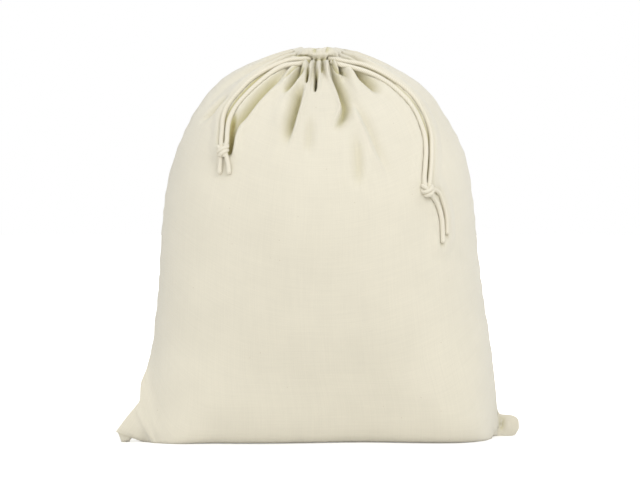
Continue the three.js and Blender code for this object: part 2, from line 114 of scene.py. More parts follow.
# Side seams of the bag: cloth length from the bottom seam, distance from the middle, height
LEFT_SEAM = table(
    "cloth half height",
    (0, 0.2875, 0.016),
    (0.029, 0.2705, 0.0385),
    (0.046, 0.2610, 0.0500),
    (0.060, 0.2545, 0.0605),
    (0.079, 0.2545, 0.078),
    (0.110, 0.246, 0.105),
    (0.152, 0.240, 0.141),
    (0.215, 0.233, 0.204),
    (0.284, 0.229, 0.275),
    (0.354, 0.222, 0.344),
    (0.408, 0.210, 0.397),
    (0.446, 0.197, 0.433),
    (0.486, 0.180, 0.469),
    (0.520, 0.160, 0.497),
    (0.556, 0.138, 0.519),
    (0.596, 0.110, 0.536),
    (0.634, 0.076, 0.5500),
    (0.661, 0.053, 0.5575),
    (TIE, 0.040, 0.5608),
    (0.696, 0.032, 0.5618),
    (PANEL_LENGTH, 0.026, 0.5625),
)
RIGHT_SEAM = table(
    "cloth half height",
    (0, 0.2865, 0.002),
    (0.012, 0.2915, 0.0125),
    (0.024, 0.2905, 0.0235),
    (0.036, 0.2810, 0.0300),
    (0.050, 0.2645, 0.0315),
    (0.058, 0.2605, 0.038),
    (0.088, 0.2575, 0.069),
    (0.151, 0.250, 0.134),
    (0.222, 0.239, 0.204),
    (0.292, 0.231, 0.273),
    (0.362, 0.224, 0.343),
    (0.414, 0.216, 0.395),
    (0.451, 0.203, 0.430),
    (0.491, 0.183, 0.465),
    (0.535, 0.159, 0.500),
    (0.560, 0.140, 0.517),
    (0.594, 0.111, 0.534),
    (0.636, 0.073, 0.5505),
    (0.662, 0.052, 0.5575),
    (TIE, 0.040, 0.5608),
    (0.696, 0.032, 0.5618),
    (PANEL_LENGTH, 0.026, 0.5625),
)
# Middle of each panel: the first rows lie on the floor, the rest climb over the fill to the mouth
FRONT_MIDDLE = table(
    "cloth half height",
    (0, 0, 0),
    (0.088, 0.088, 0),
    (0.100, 0.097, 0.004),
    (0.114, 0.103, 0.017),
    (0.138, 0.107, 0.040),
    (0.198, 0.115, 0.100),
    (0.266, 0.130, 0.169),
    (0.337, 0.142, 0.239),
    (0.406, 0.148, 0.308),
    (0.441, 0.145, 0.343),
    (0.477, 0.138, 0.378),
    (0.514, 0.127, 0.413),
    (0.550, 0.113, 0.447),
    (0.591, 0.093, 0.482),
    (0.633, 0.067, 0.515),
    (0.656, 0.050, 0.531),
    (0.671, 0.038, 0.541),
    (TIE, 0.033, 0.546),
    (0.690, 0.037, 0.5515),
    (0.700, 0.037, 0.5570),
    (PANEL_LENGTH, 0.031, 0.5605),
)
BACK_MIDDLE = table(
    "cloth half height",
    (0, 0, 0),
    (0.088, 0.088, 0),
    (0.100, 0.097, 0.004),
    (0.114, 0.103, 0.017),
    (0.138, 0.107, 0.040),
    (0.198, 0.116, 0.101),
    (0.266, 0.131, 0.170),
    (0.337, 0.142, 0.240),
    (0.406, 0.148, 0.309),
    (0.441, 0.147, 0.344),
    (0.477, 0.141, 0.380),
    (0.514, 0.131, 0.416),
    (0.552, 0.118, 0.452),
    (0.592, 0.098, 0.488),
    (0.632, 0.074, 0.521),
    (0.655, 0.057, 0.540),
    (0.669, 0.044, 0.549),
    (TIE, 0.033, 0.549),
    (0.690, 0.036, 0.5545),
    (0.700, 0.035, 0.5595),
    (PANEL_LENGTH, 0.029, 0.5630),
)
# Each side: how square the sections are and how round they end, a higher number being flatter, from which
# share of the half width the cloth climbs to the seam, and the power of that climb, a higher one climbing
# later
LEFT_ENDS = table(
    "cloth square flat climb_from late",
    (0, 5, 1.0, 0.80, 0.35),
    (0.029, 5, 1.0, 0.80, 0.9),
    (0.058, 6, 1.0, 0.80, 1.6),
    (0.090, 6, 1.0, 0.80, 2.2),
    (0.132, 5.5, 0.8, 0.65, 2.2),
    (0.208, 3.5, 0.5, 0.3, 2),
    (0.308, 2.7, 0.5, 0, 2),
    (0.402, 2.2, 0.5, 0, 2),
    (0.664, 2, 0.5, 0, 2),
    (TIE, 2, 0.5, 0, 3),
    (PANEL_LENGTH, 2, 0.5, 0, 1),
)
RIGHT_ENDS = table(
    "cloth square flat climb_from late",
    (0, 8, 0.6, 0.9, 0.3),
    (0.024, 8, 0.6, 0.9, 0.3),
    (0.050, 8, 0.6, 0.9, 1),
    (0.090, 8, 0.6, 0.91, 4),
    (0.132, 9, 0.55, 0.75, 3),
    (0.208, 5, 0.5, 0.3, 2),
    (0.308, 2.7, 0.5, 0, 2),
    (0.402, 2.2, 0.5, 0, 2),
    (0.664, 2, 0.5, 0, 2),
    (TIE, 2, 0.5, 0, 3),
    (PANEL_LENGTH, 2, 0.5, 0, 1),
)
FLOOR_EDGE = 0.088  # cloth length at which the base turns up into the front and the back
# Where the foot of the front is drawn back from the floor's edge: how far, its middle, its half width
FRONT_TUCK = (0.017, 0.063, 0.090)
FRONT_TUCK_CLOTH = (0.030, 0.088, 0.240)  # cloth lengths at which it starts, is deepest and ends

# Folds that run down from the gathers. Angles go round the bag in degrees from the left seam, over the
# front to the right seam at 180, and back round. neck and foot are the angles at the two ends of a fold,
# reach is its length down the cloth, gather is its depth in the gathers, depth is that of its trough on
# the shoulder, and wide is the half width of the trough there.
FOLDS = table(
    "neck foot reach gather depth wide",
    (11, 9, 0.070, 0.013, 0.004, 4),
    (25, 20, 0.215, 0.014, 0.005, 4.5),
    (40, 35, 0.095, 0.014, 0.004, 4.5),
    (54, 47, 0.130, 0.016, 0.003, 4),
    (66, 62, 0.115, 0.017, 0.003, 3),
    (76, 74, 0.050, 0.012, 0.001, 3),
    (85, 83, 0.080, 0.018, 0.003, 3),
    (97, 97, 0.060, 0.016, 0.002, 3),
    (110, 104, 0.120, 0.017, 0.003, 3),
    (122, 114, 0.150, 0.016, 0.003, 4),
    (135, 131, 0.130, 0.016, 0.003, 4),
    (150, 147, 0.140, 0.015, 0.004, 6),
    (165, 166, 0.100, 0.014, 0.004, 4.5),
    (189, 188, 0.080, 0.014, 0.004, 4),
    (203, 205, 0.150, 0.016, 0.006, 4.5),
    (217, 220, 0.100, 0.018, 0.005, 4.5),
    (231, 236, 0.210, 0.015, 0.008, 5),
    (245, 247, 0.110, 0.017, 0.008, 4),
    (257, 262, 0.180, 0.014, 0.009, 5),
    (269, 271, 0.260, 0.018, 0.008, 5),
    (281, 280, 0.120, 0.016, 0.010, 4),
    (294, 291, 0.220, 0.017, 0.007, 5),
    (306, 302, 0.140, 0.014, 0.007, 4.5),
    (320, 322, 0.180, 0.018, 0.006, 5),
    (335, 334, 0.090, 0.015, 0.005, 4.5),
    (349, 351, 0.070, 0.016, 0.004, 4),
)
FOLD_BENDS = 0.7  # a lower power turns a fold to its foot's angle nearer to the gathers
FOLD_FADES = 0.45  # share of a fold's length from which it fades

# Creases of the front: depth, width of the wall on the left and on the right of the trough,
# shares of its length at which it is open in full and starts to close, how dark its bottom is, and its points
# in the front view, distance from the middle and height
# The darkness at a crease's bottom is painted shade
CREASES = [
    (0.014, 0.0016, 0.0016, 0.3, 0.6, 0.95, (-0.0143, 0.533), (-0.0163, 0.519), (-0.0177, 0.509)),
    (0.018, 0.0018, 0.0018, 0.3, 0.7, 1.0, (-0.0024, 0.534), (-0.0035, 0.514), (-0.0050, 0.496)),
    (0.007, 0.0014, 0.0014, 0.0, 0.5, 0.6, (0.0043, 0.540), (0.0047, 0.522)),
    (0.010, 0.0034, 0.0024, 0.1, 0.6, 0.50, (-0.0205, 0.533), (-0.0260, 0.5255), (-0.0320, 0.5185),
     (-0.0380, 0.510), (-0.0455, 0.4985), (-0.0500, 0.489)),
    (0.018, 0.0085, 0.0026, 0.25, 0.55, 0.40, (-0.020, 0.514), (-0.025, 0.497), (-0.029, 0.481),
     (-0.035, 0.459), (-0.041, 0.436), (-0.046, 0.416)),
    (0.018, 0.0026, 0.0085, 0.35, 0.68, 0.40, (0.0120, 0.538), (0.0205, 0.521), (0.0275, 0.505),
     (0.0325, 0.490), (0.0355, 0.477), (0.0340, 0.467), (0.0285, 0.455), (0.0215, 0.438)),
    (0.006, 0.0016, 0.0022, 0.1, 0.4, 0.45, (0.0165, 0.541), (0.0205, 0.5345), (0.0255, 0.5285),
     (0.0330, 0.5235), (0.0400, 0.517), (0.0460, 0.510)),
    (0.011, 0.0028, 0.0078, 0.2, 0.6, 0.36, (0.0300, 0.543), (0.0484, 0.5305), (0.0584, 0.5205),
     (0.0712, 0.509), (0.0798, 0.5005), (0.0912, 0.492)),
    (0.008, 0.0085, 0.0050, 0.4, 0.6, 0.08, (0.049, 0.443), (0.0545, 0.420), (0.0565, 0.400),
     (0.0560, 0.376), (0.053, 0.354)),
    (0.005, 0.0035, 0.0060, 0.3, 0.6, 0.04, (0.040, 0.498), (0.053, 0.475), (0.067, 0.451),
     (0.080, 0.420), (0.093, 0.392), (0.103, 0.368)),
    (0.006, 0.0050, 0.0070, 0.4, 0.6, 0.05, (-0.0120, 0.468), (-0.0140, 0.436), (-0.0155, 0.402)),
    (0.011, 0.0046, 0.0036, 0.25, 0.8, 0.40, (-0.0400, 0.5285), (-0.0520, 0.5205), (-0.0660, 0.5095),
     (-0.0860, 0.4890), (-0.1030, 0.4665), (-0.1140, 0.451), (-0.1190, 0.436), (-0.1220, 0.412),
     (-0.1240, 0.398)),
    (0.005, 0.0018, 0.0018, 0.2, 0.5, 0.35, (-0.0236, 0.538), (-0.0330, 0.530), (-0.0450, 0.5205),
     (-0.0540, 0.513)),
    (0.006, 0.0028, 0.0024, 0.3, 0.6, 0.08, (-0.1250, 0.493), (-0.1417, 0.478), (-0.1560, 0.464),
     (-0.1700, 0.452)),
    (0.005, 0.0060, 0.0120, 0.4, 0.6, 0.1, (0.0440, 0.526), (0.0675, 0.512), (0.0900, 0.496)),
    (0.011, 0.0040, 0.0042, 0.3, 0.85, 0.76, (-0.1125, 0.469), (-0.1210, 0.455), (-0.1250, 0.439),
     (-0.1265, 0.421), (-0.1270, 0.403)),
    (0.004, 0.0018, 0.0040, 0.3, 0.6, 0.4, (0.2655, 0.030), (0.2650, 0.018), (0.2655, 0.005)),
]
# Creases of the frill, in the same way
FRILL_CREASES = [
    (0.007, 0.0022, 0.0022, 0.1, 0.5, 0.5, (-0.0045, 0.566), (-0.0055, 0.5565), (-0.0050, 0.550)),
    (0.004, 0.0016, 0.0030, 0.1, 0.5, 0.35, (0.0160, 0.566), (0.0110, 0.557), (0.0085, 0.551)),
    (0.002, 0.0014, 0.0010, 0.3, 0.7, 0.55, (-0.0520, 0.5480), (-0.0380, 0.5490), (-0.0240, 0.5497),
     (-0.0080, 0.5500)),
    (0.002, 0.0016, 0.0016, 0.2, 0.8, 0.55, (-0.0080, 0.5430), (0.0020, 0.5432), (0.0120, 0.5440),
     (0.0240, 0.5435)),
]
CREASE_STEP = 0.004
CREASE_LIP = 0.22  # share of a crease's depth by which the cloth stands up beside it
CREASE_LIP_AWAY = 2.4  # how far away that lip is and how wide, in widths of the crease's wall
CREASE_LIP_WIDE = 1.1
CREASE_ENDS = 0.655  # cloth length from which the creases give way to the pleats

# Cloth that stands up beside a drawstring lying on it
NESTLE = 0.0038
NESTLE_NEAR = (0.0038, 0.0058)
NESTLE_FAR = (0.0095, 0.024)
# Painted shade on the cloth under the drawstrings and in the gap between the two strands of each
CORD_SHADE = 0.10  # how dark the cloth is right under a drawstring
CORD_SHADE_REACH = (0.0034, 0.0080)
STRAND_GAP = (0.0074, 0.0102)  # cloth this near to both strands of a drawstring lies between them
STRAND_GAP_SHADE = 0.66
# Painted shade at the bottoms of the pleats
GATHER_SHADE = (0.12, 0.38)  # how dark the bottom of a pleat is at the sides, and between the drawstrings
GATHER_SHADE_DEPTH = (0.004, 0.022)

# Side seams: a groove where the two panels are sewn together, and the puckers along it
SEAM_GROOVE = 0.0016
SEAM_GROOVE_WIDE = 0.0045
SEAM_PUCKER = 0.0009
SEAM_PUCKER_WIDE = 0.0140
SEAM_PUCKER_LENGTH = 0.031
SEAM_PUCKER_UNEVEN = (1.3, 3.7)  # how far the puckers stray from even, and over how many of them
SEAM_STARTS = (0.110, 0.160)  # cloth lengths over which the groove starts and ends
SEAM_ENDS = (0.600, 0.650)

# Soft lumps of the fill: size of a lump and how far it stands out
LUMPS = ((0.16, 0.0022), (0.07, 0.0008))
LUMPS_START = (0.09, 0.16)  # cloth lengths over which the lumps start and end
LUMPS_END = (0.60, 0.66)

# Drawstrings
CORD = 0.007  # diameter
CORD_CLEAR = CORD / 2 + 0.0004  # the cloth keeps this far from the middle of a cord
CORD_EMERGES = 0.006  # length over which a cord comes out of the gathers onto the cloth
CORD_YARNS = 7
CORD_YARN_SIDES = 4
CORD_LAY = 0.026  # length over which a yarn goes once round the cord
CORD_STEP = 0.002
CORD_RELIEF = 0.05  # share of the radius by which the yarns stand out
CORD_CUT = 0.25  # share of the radius that is left at a cut end
ROUTES = {
    "left_strand_outer": [
        (-0.0235, -0.0455, 0.5450), (-0.0340, -0.0450, 0.5440), (-0.0425, -0.0467, 0.5430),
        (-0.0520, -0.0490, 0.5395), (-0.0620, -0.0505, 0.5355), (-0.0795, -0.0555, 0.5265),
        (-0.0970, -0.0630, 0.5145), (-0.1115, -0.0695, 0.4995), (-0.1225, -0.0740, 0.4865),
        (-0.1305, -0.0785, 0.4735), (-0.1345, -0.0845, 0.4595), (-0.1355, -0.0930, 0.4425),
        (-0.1365, -0.1000, 0.4265), (-0.1350, -0.1095, 0.4140),
    ],
    "left_strand_inner": [
        (-0.0290, -0.0530, 0.5378), (-0.0420, -0.0540, 0.5365), (-0.0500, -0.0550, 0.5345),
        (-0.0575, -0.0570, 0.5310), (-0.0735, -0.0625, 0.5200), (-0.0885, -0.0695, 0.5070),
        (-0.1010, -0.0760, 0.4945), (-0.1120, -0.0810, 0.4820), (-0.1200, -0.0855, 0.4700),
        (-0.1255, -0.0905, 0.4575), (-0.1280, -0.0975, 0.4405), (-0.1285, -0.1040, 0.4265),
        (-0.1315, -0.1120, 0.4140),
    ],
    "right_strand_outer": [
        (0.0260, -0.0475, 0.5438), (0.0340, -0.0503, 0.5420), (0.0445, -0.0496, 0.5400),
        (0.0580, -0.0490, 0.5380), (0.0685, -0.0505, 0.5350), (0.0865, -0.0525, 0.5270),
        (0.1065, -0.0555, 0.5150), (0.1235, -0.0600, 0.5025), (0.1365, -0.0640, 0.4890),
        (0.1460, -0.0680, 0.4740), (0.1540, -0.0735, 0.4565), (0.1585, -0.0805, 0.4385),
        (0.1590, -0.0910, 0.4175), (0.1580, -0.1010, 0.3940), (0.1555, -0.1095, 0.3715),
        (0.1540, -0.1165, 0.3600),
    ],
    "right_strand_inner": [
        (0.0305, -0.0560, 0.5365), (0.0430, -0.0580, 0.5335), (0.0530, -0.0570, 0.5310),
        (0.0630, -0.0578, 0.5280), (0.0815, -0.0600, 0.5205), (0.0995, -0.0640, 0.5095),
        (0.1150, -0.0700, 0.4965), (0.1280, -0.0740, 0.4830), (0.1375, -0.0780, 0.4685),
        (0.1445, -0.0830, 0.4520), (0.1495, -0.0885, 0.4350), (0.1510, -0.0975, 0.4145),
        (0.1495, -0.1065, 0.3935), (0.1480, -0.1140, 0.3715), (0.1495, -0.1190, 0.3600),
    ],
    "right_tail_front": [
        (0.1540, -0.1165, 0.3560), (0.1595, -0.1120, 0.3500), (0.1645, -0.1080, 0.3430),
        (0.1685, -0.1055, 0.3350), (0.1710, -0.1045, 0.3270), (0.1730, -0.1040, 0.3180),
        (0.1740, -0.1040, 0.3040), (0.1745, -0.1050, 0.2840),
    ],
    "right_tail_back": [
        (0.1545, -0.1160, 0.3570), (0.1625, -0.1080, 0.3590), (0.1700, -0.1025, 0.3540),
        (0.1745, -0.1005, 0.3430), (0.1775, -0.0990, 0.3340), (0.1795, -0.0980, 0.3250),
        (0.1805, -0.0985, 0.3110), (0.1805, -0.0995, 0.2960),
    ],
}
# Where a strand's hidden end is tucked into the gathers
TUCKED_IN = {
    "left_strand_outer": (-0.0120, -0.0380, 0.5455),
    "left_strand_inner": (-0.0160, -0.0440, 0.5400),
    "right_strand_outer": (0.0150, -0.0380, 0.5455),
    "right_strand_inner": (0.0180, -0.0450, 0.5400),
}
LEFT_STUBS = [
    [(-0.1355, -0.1110, 0.4120), (-0.1375, -0.1115, 0.3970), (-0.1385, -0.1140, 0.3805)],
    [(-0.1305, -0.1140, 0.4120), (-0.1265, -0.1165, 0.3970), (-0.1245, -0.1210, 0.3805)],
]
# Real length of each cord and what is on its far end
CORDS = {
    "left_strand_outer": (0.207, "knot"),
    "left_strand_inner": (0.186, "knot"),
    "right_strand_outer": (0.273, "knot"),
    "right_strand_inner": (0.252, "knot"),
    "right_tail_front": (0.080, "bare"),
    "right_tail_back": (0.082, "bare"),
}
# Knots: middle, and the direction straight out of the bag
LEFT_KNOT = ((-0.1335, -0.1110, 0.4140), (-0.4, -0.85, 0.33))
RIGHT_KNOT = ((0.1530, -0.1170, 0.3590), (0.47, -0.87, 0.12))
KNOT_CORD = 0.0029  # radius of the cord where the knot squeezes it
STUB_CORD = CORD / 2 * 0.94  # radius of the short ends under the left knot
# One cord's way through an overhand knot: across, out of the bag, up
KNOT_PATH = [
    (-0.0020, -0.0015, 0.0105), (0.0005, -0.0035, 0.0060), (0.0035, -0.0040, 0.0000),
    (0.0054, -0.0012, -0.0045), (0.0028, 0.0040, -0.0050), (-0.0026, 0.0052, -0.0016),
    (-0.0058, 0.0014, 0.0022), (-0.0030, -0.0042, 0.0048), (0.0030, -0.0048, 0.0044),
    (0.0058, 0.0004, 0.0034), (0.0022, 0.0034, 0.0006), (-0.0008, 0.0014, -0.0050),
    (-0.0012, 0.0004, -0.0095),
]
KNOT_SPREAD = 0.0027  # the two cords lie this far above and below that path, and to its two sides

# Finish of the cotton
COTTON = (0.790, 0.745, 0.615)
CORD_COTTON = (0.780, 0.733, 0.605)
# Painted shade: tones that the cloth's colour is drawn towards in folds, creases and beside the drawstrings
# as each point's painted shade grows
DEEP_PAINTED_SHADE = (0.060, 0.042, 0.020)
PAINTED_FOLD_SHADES = ((0.6, (0.620, 0.572, 0.285)), (0.82, (0.350, 0.255, 0.085)))  # how deep in a fold, and the tone
SHEEN = (0.930, 0.965, 1.000)
CLOTH_SHEEN = 0.45
CORD_SHEEN = 0.20
CLOTH_ROUGH = (0.96, 0.84)  # on a thin place of a thread and on a thick one
CORD_ROUGH = (0.93, 0.80)  # between two threads and on one
CLOUDS = {"Scale": 11.0, "Detail": 4.0, "Roughness": 0.6}
CLOTH_CLOUDS = 0.035  # how far the tone strays in broad clouds
CORD_CLOUDS = 0.04
FIBRES = {"Scale": 700.0, "Detail": 3.0, "Roughness": 0.7}
THREADS = 1600  # threads to the metre
SLUBS = (0.3, 0.7)  # range of the thick places in the threads
SLUB_THREADS = 70  # a thick place in a thread is about as long as this many threads are wide
SLUB_TONE = 0.035
WEAVE_HEIGHT = 0.00030
SEED_FLECK = (0.420, 0.330, 0.190)
FLECK_CELLS = 75.0  # places for a fleck to the metre
FLECK_NONE = 0.72  # share of them that stay empty
FLECK_SIZE = (0.03, 0.06)
FLECK_STRENGTH = 0.45
CORD_GROOVE = 4.0  # a higher power narrows the groove between two yarns
# The cord's tone on a yarn, and painted shade in the groove between two yarns
CORD_SHADE_TONES = (1.02, 0.86)  # on a yarn and in the groove
CORD_PLY = 0.0017  # length along the cord between two fine threads of a yarn
CORD_PLY_TONE = 0.02
CORD_HEIGHT = 0.00025

# Camera and light
WHITE = (1, 1, 1, 1)
LENS = 124.1
CAMERA = (0, -3.198, 0.3967)
CAMERA_TARGET = (0, 0, 0.285)
CAMERA_SHIFT = 1.5 / 640
FLOOR_TONE = (0.93, 0.93, 0.925)
FLOOR_BOUNCE = (0.82, 0.81, 0.79)  # the floor's tone in the light that it throws back on the bag
FLOOR_RADIUS = 9
FLOOR_WHITENS = (0.15, 0.9, 0.22, 0.6)  # distances over which it fades into the surround, and its glow there
SURROUND_LIGHT = 0.86
# Lamps: name, place, what each is turned to, size and power
LAMPS = [
    ("key", (1.3, -2.3, 2.1), (0, 0, 0.3), 1.6, 31),
    ("fill", (-2.1, -2.0, 1.9), (0, 0, 0.40), 1.5, 12.5),
]


def smoothstep(value, low, high):
    """0 up to a low limit, 1 from a high one, and a soft rise between them."""
    share = np.clip((value - low) / (high - low), 0, 1)
    return share * share * (3 - 2 * share)


def plateau(value, rise, fall):
    """A soft rise between two limits and a soft fall between two others."""
    return smoothstep(value, *rise) * (1 - smoothstep(value, *fall))


def soft_hump(value, wide):
    """1 at 0, falling off softly over a width on both sides."""
    return np.exp(-((value / wide) ** 2))


def run_along(line):
    """How far along a line each of its points is."""
    return np.concatenate([[0], np.cumsum(np.linalg.norm(np.diff(line, axis=0), axis=1))])


def smooth_between(at, value, slope, where):
    """A smooth curve through values with given slopes, read at places between them."""
    i = np.clip(np.searchsorted(at, where, side="right") - 1, 0, len(at) - 2)
    step = at[i + 1] - at[i]
    u = (where - at[i]) / step
    v = 1 - u
    ends = value[i] * (1 + 2 * u) * v * v + value[i + 1] * (3 - 2 * u) * u * u
    return ends + step * u * v * (slope[i] * v - slope[i + 1] * u)


def aimed(name, data, place, target):
    """A camera or a lamp at a place, turned to a target."""
    piece = bpy.data.objects.new(name, data)
    bpy.context.scene.collection.objects.link(piece)
    piece.location = place
    piece.rotation_euler = (Vector(target) - Vector(place)).to_track_quat("-Z", "Y").to_euler()
    return piece


def camera():
    data = bpy.data.cameras.new("camera")
    data.lens = LENS
    data.shift_x = CAMERA_SHIFT
    bpy.context.scene.camera = aimed("camera", data, CAMERA, CAMERA_TARGET)


def new_piece(name, bm, material, node):
    """A finished piece from a bmesh, riding on the bag in place of its solid."""
    mesh = bpy.data.meshes.new(name)
    bm.to_mesh(mesh)
    bm.free()
    mesh.polygons.foreach_set("use_smooth", [True] * len(mesh.polygons))
    mesh.materials.append(material)
    piece = bpy.data.objects.new(name, mesh)
    bpy.context.scene.collection.objects.link(piece)
    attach(piece, "root")
    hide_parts(node)
    return piece


# Cords
def smooth_line(route, step=CORD_STEP):
    """Points a step apart on a smooth curve through a route."""
    points = np.array(route)
    chord = run_along(points)
    slope = np.gradient(points, chord, axis=0)
    at = np.linspace(0, chord[-1], max(4, round(chord[-1] / step)) + 1)
    return np.stack([smooth_between(chord, *column, at) for column in zip(points.T, slope.T)], axis=1)


def yarn_ring():
    """Section of a laid cord of radius 1, one hump for each yarn."""
    sides = CORD_YARNS * CORD_YARN_SIDES
    turn = 2 * np.pi * np.arange(sides) / sides
    hump = np.abs(np.cos(turn * CORD_YARNS / 2))
    return turn, 1 - CORD_RELIEF * (1 - hump)


def sweep_cord(bm, line, radius, free_end=False):
    """Adds a laid cord along a line of points to a bmesh. A free end is rounded off."""
    uv = bm.loops.layers.uv.verify()
    turn, swell = yarn_ring()
    along = run_along(line)
    tangent = [Vector(t).normalized() for t in np.gradient(line, axis=0)]
    side = tangent[0].orthogonal().normalized()
    places = {}
    start = bmesh.ops.create_circle(bm, cap_ends=True, segments=len(turn), radius=radius)["verts"]
    face = start[0].link_faces[0]
    for i, point in enumerate(line):
        if i:
            side = tangent[i - 1].rotation_difference(tangent[i]) @ side
            face = bmesh.ops.extrude_discrete_faces(bm, faces=[face])["faces"][0]
        up = tangent[i].cross(side)
        left = min(1, (along[-1] - along[i]) / radius) if free_end else 1
        round_off = min(1, math.sqrt(max(0, 1 - (1 - left) ** 2)) + CORD_CUT)
        spin = turn + 2 * np.pi * along[i] / CORD_LAY
        for k, vert in enumerate(face.verts):
            reach = float(radius * swell[k] * round_off)
            vert.co = Vector(point) + reach * (math.cos(spin[k]) * side + math.sin(spin[k]) * up)
            places[vert] = (k / len(turn), along[i])
    ends = [edge for edge in bm.edges if edge.is_boundary]
    bmesh.ops.holes_fill(bm, edges=ends, sides=0)
    bmesh.ops.recalc_face_normals(bm, faces=bm.faces)
    for made in {f for vert in places for f in vert.link_faces}:
        turns = [places[loop.vert][0] for loop in made.loops]
        wraps = max(turns) - min(turns) > 0.5
        for loop in made.loops:
            around, length = places[loop.vert]
            loop[uv].uv = (around + (1 if wraps and around < 0.5 else 0), length / CORD_LAY)


def strand(name, material):
    """One free stretch of drawstring."""
    hidden = [TUCKED_IN[name]] if name in TUCKED_IN else []
    line = smooth_line(hidden + ROUTES[name])
    bm = bmesh.new()
    sweep_cord(bm, line, CORD / 2, free_end=CORDS[name][1] == "bare")
    piece = new_piece(name + "_cord", bm, material, name)
    return piece, line


def knot(name, place, stubs, material):
    """An overhand knot in two cords, with the short ends that belong to it."""
    middle, out = place
    out = Vector(out).normalized()
    across = out.cross(Vector((0, 0, 1))).normalized()
    up = across.cross(out)
    through = np.linspace(0, np.pi, len(KNOT_PATH))
    bm = bmesh.new()
    for cord in (1, -1):
        local = np.array(KNOT_PATH)
        local[:, 2] += cord * KNOT_SPREAD * np.sin(through) ** 0.5
        local[:, 0] += cord * KNOT_SPREAD * np.abs(np.cos(through))
        path = np.array(middle) + local @ np.array([across, out, up])
        sweep_cord(bm, smooth_line(path, CORD_STEP / 2), KNOT_CORD)
    for route in stubs:
        sweep_cord(bm, smooth_line(route), STUB_CORD, free_end=True)
    return new_piece(name + "_turns", bm, material, name)


# Cloth
def curve_through(rows, column):
    """A smooth curve through one column of a table that never swings past its rows."""
    at, value = rows["cloth"], rows[column]
    step = np.diff(at)
    rise = np.diff(value) / step
    slope = np.concatenate([rise[:1], np.zeros(len(step) - 1), rise[-1:]])
    for i in range(1, len(step)):
        if rise[i - 1] * rise[i] > 0:
            before = 2 * step[i] + step[i - 1]
            after = step[i] + 2 * step[i - 1]
            slope[i] = (before + after) / (before / rise[i - 1] + after / rise[i])
    return lambda cloth: smooth_between(at, value, slope, cloth)


def curves(*tables):
    """Smooth curves through the columns of tables, by name."""
    return {column: curve_through(rows, column) for rows in tables for column in rows if column != "cloth"}


LEFT = curves(LEFT_SEAM, LEFT_ENDS)
RIGHT = curves(RIGHT_SEAM, RIGHT_ENDS)
FRONT = curves(FRONT_MIDDLE)
BACK = curves(BACK_MIDDLE)


def at_side(angle, cloth, column):
    """A curve of the left side left of the middle, of the right side right of it."""
    return np.where(np.cos(angle) > 0, LEFT[column](cloth), RIGHT[column](cloth))


def tip_share(angle, cloth):
    """Distance of the side seam as a share of the body's half width. It is over 1 on a flat corner."""
    return np.maximum(1, at_side(angle, cloth, "half") / EAR_ROOT)


def body_share(angle, cloth):
    """Distance from the middle as a share of the body's half width."""
    return np.abs(np.cos(angle)) * tip_share(angle, cloth)


def smooth_surface(angle, cloth, front):
    """Points of the bag's outside before any fold, at angles in radians and cloth lengths."""
    middle = FRONT if front else BACK
    share = body_share(angle, cloth)
    bulge = np.maximum(0, 1 - share ** at_side(angle, cloth, "square"))
    depth = middle["half"](cloth) * bulge ** at_side(angle, cloth, "flat")
    climb_from = at_side(angle, cloth, "climb_from")
    climb = np.clip((share - climb_from) / (tip_share(angle, cloth) - climb_from), 0, 1)
    climb = climb ** at_side(angle, cloth, "late")
    seam = at_side(angle, cloth, "height")
    low = middle["height"](cloth) - np.maximum(0, at_side(angle, FLOOR_EDGE, "height") - seam)
    height = np.maximum(0, low + (seam - low) * climb)
    forward = NECK_FORWARD * smoothstep(cloth, NECK_STARTS, TIE)
    across = -np.cos(angle) * at_side(angle, cloth, "half")
    if front:
        back, place, wide = FRONT_TUCK
        starts, deepest, ends = FRONT_TUCK_CLOTH
        tuck = back * plateau(cloth, (starts, deepest), (deepest, ends))
        depth = depth - tuck * soft_hump(across - place, wide)
    return np.stack([across, (-depth if front else depth) - forward, height], axis=-1)


def unit(vectors):
    return vectors / np.maximum(1e-9, np.linalg.norm(vectors, axis=-1, keepdims=True))


def outward(angle, cloth, front):
    """The outward direction of the smooth outside, taken a little inside the panel's edges."""
    first = 0 if front else np.pi
    at = np.clip(angle, first + EDGE_TURN, first + np.pi - EDGE_TURN)
    along = np.clip(cloth, EDGE_STEP, PANEL_LENGTH - EDGE_STEP)
    turn = EDGE_TURN / 2
    across = smooth_surface(at + turn, along, front) - smooth_surface(at - turn, along, front)
    upward = smooth_surface(at, along + EDGE_STEP, front) - smooth_surface(at, along - EDGE_STEP, front)
    normal = unit(np.cross(across, upward))
    flat = np.array([0, -1.0 if front else 1.0, 0])
    return np.where((body_share(angle, cloth) > EAR_FLAT)[..., None], flat, normal)


def fold_depth(angle, cloth):
    """How far the folds draw the cloth in."""
    below = np.maximum(0, TIE - cloth)
    softened = 1 - FRILL_SOFTENS * smoothstep(cloth - TIE, *FRILL_SOFT)
    depth = np.zeros(np.broadcast(angle, cloth).shape)
    for neck, foot, reach, gather, on_shoulder, wide in zip(*FOLDS.values()):
        share = np.minimum(1, below / reach)
        trough = neck + (foot - neck) * share**FOLD_BENDS
        turn = (np.degrees(angle) - trough + 180) % 360 - 180
        width = PLEAT_WIDTH + (wide - PLEAT_WIDTH) * np.minimum(1, below / (2 * PLEAT_FADE))
        pleat = (gather - on_shoulder) * soft_hump(below, PLEAT_FADE)
        strength = (on_shoulder + pleat) * (1 - smoothstep(share, FOLD_FADES, 1)) * softened
        depth += strength * soft_hump(turn, width)
    return depth


def between_drawstrings(angle):
    """1 on the pleats between the two drawstrings, 0 on the others."""
    return plateau(np.degrees(angle), PLEAT_BULGE_LEFT, PLEAT_BULGE_RIGHT)


def pleat_bulge(angle, cloth):
    """How far the pleats between the drawstrings stand out under the tie."""
    return PLEAT_BULGE * between_drawstrings(angle) * plateau(cloth, PLEAT_BULGE_FOOT, PLEAT_BULGE_TOP)


